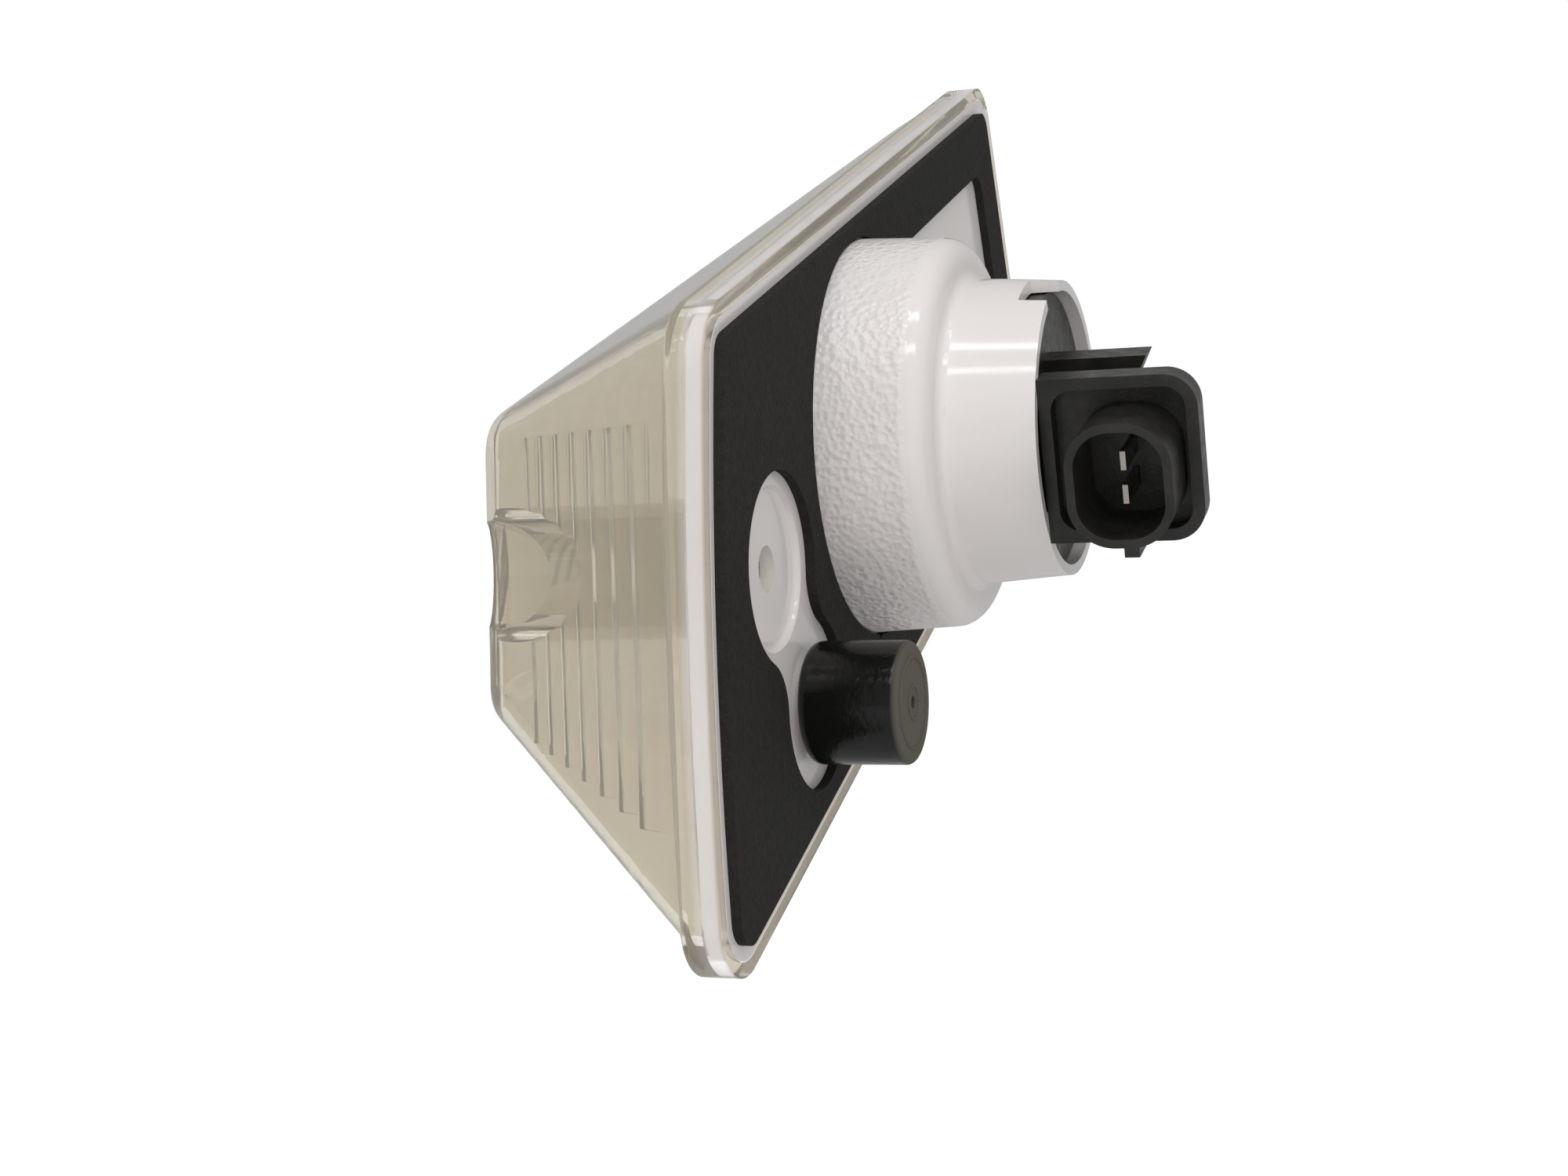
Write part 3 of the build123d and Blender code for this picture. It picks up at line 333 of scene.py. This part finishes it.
# Bulb: brass bayonet cap with a black glass disc and solder contact, cemented to an amber envelope.
# Inside, a pressed glass stem carries two nickel wires.
BRASS = (0.72, 0.53, 0.24)
BRASS_DULL = (0.55, 0.38, 0.16)
BRASS_PATCH, BRASS_GRAIN, BRASS_ROUGHNESS = 0.004, 0.002, (0.2, 0.4)
brass = Finish("bulb_brass", roughness=0.28, metallic=1.0)
brass.colour(brass.noise(BRASS_PATCH), BRASS, BRASS_DULL)
brass.roughness(brass.noise(BRASS_GRAIN), *BRASS_ROUGHNESS)
brass.wear("bulb_cap")
DISC_PATCH = 0.002
disc_glass = Finish("black_glass", roughness=0.15)
disc_glass.colour(disc_glass.noise(DISC_PATCH), RUBBER_BLACK, HOLDER_BROWN)
disc_glass.wear("bulb_insulator")
SOLDER_BRIGHT = (0.62, 0.62, 0.60)
SOLDER_DULL = (0.45, 0.45, 0.44)
SOLDER_PATCH = 0.001
SOLDER_LUMP, SOLDER_LUMP_DEPTH = 0.0008, 0.0001
solder = Finish("solder", roughness=0.4, metallic=1.0)
solder.colour(solder.noise(SOLDER_PATCH), SOLDER_BRIGHT, SOLDER_DULL)
solder.relief(solder.noise(SOLDER_LUMP), SOLDER_LUMP_DEPTH)
solder.wear("bulb_button")
AMBER = (1.0, 0.36, 0.045)
GLASS_INDEX = 1.5
BLOWN_WAVE, BLOWN_WAVE_DEPTH = 0.006, 0.00005
amber = Finish("amber_glass", roughness=0.05)
amber.shader.inputs["Base Color"].default_value = (*AMBER, 1.0)
amber.shader.inputs["Transmission Weight"].default_value = 1.0
amber.shader.inputs["IOR"].default_value = GLASS_INDEX
amber.relief(amber.noise(BLOWN_WAVE), BLOWN_WAVE_DEPTH)
amber.wear("bulb_glass")
STEM_TINT = (0.9, 0.95, 0.93)
PRESSED_WAVE, PRESSED_WAVE_DEPTH = 0.002, 0.0001
stem = Finish("stem_glass", roughness=0.08)
stem.shader.inputs["Base Color"].default_value = (*STEM_TINT, 1.0)
stem.shader.inputs["Transmission Weight"].default_value = 1.0
stem.relief(stem.noise(PRESSED_WAVE), PRESSED_WAVE_DEPTH)
stem.wear("bulb_stem")
NICKEL_BRIGHT = (0.66, 0.64, 0.60)
NICKEL_DULL = (0.5, 0.48, 0.45)
NICKEL_PATCH = 0.001
nickel = Finish("wire_metal", roughness=0.3, metallic=1.0)
nickel.colour(nickel.noise(NICKEL_PATCH), NICKEL_BRIGHT, NICKEL_DULL)
nickel.wear("lead_wire_upper", "lead_wire_lower")

# Filament: tungsten wire wound to a close coil between the ends of the two lead wires.
# It stands along the holder's own upright, which is turned with the holder in its locked position.
COIL_RADIUS, COIL_WIRE, COIL_TURNS = 0.00042, 0.00007, 15
COIL_STEPS, COIL_WIRE_SIDES = 18, 6
TUNGSTEN_DARK = (0.20, 0.20, 0.21)
TUNGSTEN_PALE = (0.30, 0.29, 0.28)
TUNGSTEN_PATCH = 0.0006
HOLDER_TURN = math.radians(20.0)
tungsten = Finish("tungsten", roughness=0.45, metallic=1.0)
tungsten.colour(tungsten.noise(TUNGSTEN_PATCH), TUNGSTEN_DARK, TUNGSTEN_PALE)
low, high = (Vector(corner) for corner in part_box("filament"))
axis = Vector((0.0, -math.sin(HOLDER_TURN), math.cos(HOLDER_TURN)))
sideways = Vector((1.0, 0.0, 0.0))
outward = axis.cross(sideways)
coil_length = (high.z - low.z) / math.cos(HOLDER_TURN) - 2 * COIL_RADIUS
coil = []
for step in range(COIL_TURNS * COIL_STEPS + 1):
    angle = 2 * math.pi * step / COIL_STEPS
    rise = coil_length * (step / (COIL_TURNS * COIL_STEPS) - 0.5)
    turn = sideways * math.cos(angle) + outward * math.sin(angle)
    coil.append((low + high) / 2 + axis * rise + turn * COIL_RADIUS)
filament = swept("filament_coil", coil, COIL_WIRE, COIL_WIRE_SIDES, tungsten)
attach(filament, "bulb_unit")
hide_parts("filament")

# Stage: a pale floor below the lamp, in a plain room.
# Two long soft tubes overhead and a wide soft panel light the lamp from the camera's side.
# The camera stands where the photo was taken, behind the lamp and to its near side.
FLOOR_Z, FLOOR_RADIUS, FLOOR_CORNERS = -0.125, 2.0, 64
FLOOR_GREY, FLOOR_ROUGHNESS = (0.86, 0.86, 0.86), 0.9
FLOOR_LIFT = 0.66
ROOM_WHITE = (1.0, 1.0, 1.0)
CAMERA_PLACE = Vector((0.10888, -0.29993, -0.00732))
CAMERA_AZIMUTH, CAMERA_ELEVATION, CAMERA_ROLL = 19.52, -0.83, -0.87
CAMERA_LENS, CAMERA_SENSOR = 52.2, 36.0
TUBES = ((64.0, 2.0), (44.0, 1.6))
TUBE_SIZE = (1.0, 0.07)
FILL_HEIGHT, FILL_POWER = 12.0, 2.6
FILL_SIZE = (1.1, 0.7)
LIGHT_TARGET = Vector((0.02, 0.04, 0.02))
LIGHT_DISTANCE = 0.95
ROOM_LIGHT = 0.46

floor_mesh = bpy.data.meshes.new("floor")
rim = []
for step in range(FLOOR_CORNERS):
    angle = 2 * math.pi * step / FLOOR_CORNERS
    rim.append((FLOOR_RADIUS * math.cos(angle), FLOOR_RADIUS * math.sin(angle), FLOOR_Z))
floor_mesh.from_pydata(rim, [], [list(range(FLOOR_CORNERS))])
floor = bpy.data.objects.new("floor", floor_mesh)
bpy.context.collection.objects.link(floor)


def seen_directly(tree):
    """1 for rays from the camera or through clear plastic, and 0 for others, such as mirrored ones."""
    path = tree.nodes.new("ShaderNodeLightPath")
    either = tree.nodes.new("ShaderNodeMath")
    either.operation = "MAXIMUM"
    tree.links.new(path.outputs["Is Camera Ray"], either.inputs[0])
    tree.links.new(path.outputs["Is Transmission Ray"], either.inputs[1])
    return either.outputs["Value"]


pale = bpy.data.materials.new("pale_floor")
pale.use_nodes = True
shader = pale.node_tree.nodes["Principled BSDF"]
shader.inputs["Base Color"].default_value = (*FLOOR_GREY, 1.0)
shader.inputs["Roughness"].default_value = FLOOR_ROUGHNESS
shader.inputs["Emission Color"].default_value = (*ROOM_WHITE, 1.0)
lift = pale.node_tree.nodes.new("ShaderNodeMath")
lift.operation = "MULTIPLY"
pale.node_tree.links.new(seen_directly(pale.node_tree), lift.inputs[0])
lift.inputs[1].default_value = FLOOR_LIFT
pale.node_tree.links.new(lift.outputs["Value"], shader.inputs["Emission Strength"])
floor_mesh.materials.append(pale)

room = bpy.data.worlds.new("room")
bpy.context.scene.world = room
room.use_nodes = True
background = room.node_tree.nodes["Background"]
background.inputs["Color"].default_value = (*ROOM_WHITE, 1.0)
level = room.node_tree.nodes.new("ShaderNodeMapRange")
room.node_tree.links.new(seen_directly(room.node_tree), level.inputs["Value"])
level.inputs["To Min"].default_value = ROOM_LIGHT
level.inputs["To Max"].default_value = 1.0
room.node_tree.links.new(level.outputs["Result"], background.inputs["Strength"])

azimuth = math.radians(CAMERA_AZIMUTH)
elevation = math.radians(CAMERA_ELEVATION)
roll = math.radians(CAMERA_ROLL)
level_share = math.cos(elevation)
back = Vector((math.sin(azimuth) * level_share, -math.cos(azimuth) * level_share, math.sin(elevation)))
right = Vector((math.cos(azimuth), math.sin(azimuth), 0.0))
up = back.cross(right)
rolled_right = right * math.cos(roll) + up * math.sin(roll)
rolled_up = up * math.cos(roll) - right * math.sin(roll)
eye = bpy.data.cameras.new("camera")
eye.sensor_width = CAMERA_SENSOR
eye.lens = CAMERA_LENS
camera = bpy.data.objects.new("camera", eye)
turn = Matrix((rolled_right, rolled_up, back)).transposed()
camera.matrix_world = Matrix.Translation(CAMERA_PLACE) @ turn.to_4x4()
bpy.context.collection.objects.link(camera)
bpy.context.scene.camera = camera

level_back = Vector((back.x, back.y, 0.0)).normalized()


def hang_light(name, height, power, size):
    """A soft rectangular light on the camera's side, turned to the lamp, at a height in degrees."""
    light = bpy.data.lights.new(name, "AREA")
    light.shape = "RECTANGLE"
    light.size, light.size_y = size
    light.energy = power
    lamp = bpy.data.objects.new(name, light)
    rise = math.radians(height)
    towards = level_back * math.cos(rise) + Vector((0, 0, math.sin(rise)))
    turn = Matrix((right, towards.cross(right), towards)).transposed()
    lamp.matrix_world = Matrix.Translation(LIGHT_TARGET + towards * LIGHT_DISTANCE) @ turn.to_4x4()
    bpy.context.collection.objects.link(lamp)
    return lamp


for height, power in TUBES:
    hang_light("tube", height, power, TUBE_SIZE)
hang_light("fill", FILL_HEIGHT, FILL_POWER, FILL_SIZE).visible_glossy = False

bpy.context.scene.view_settings.view_transform = "Standard"
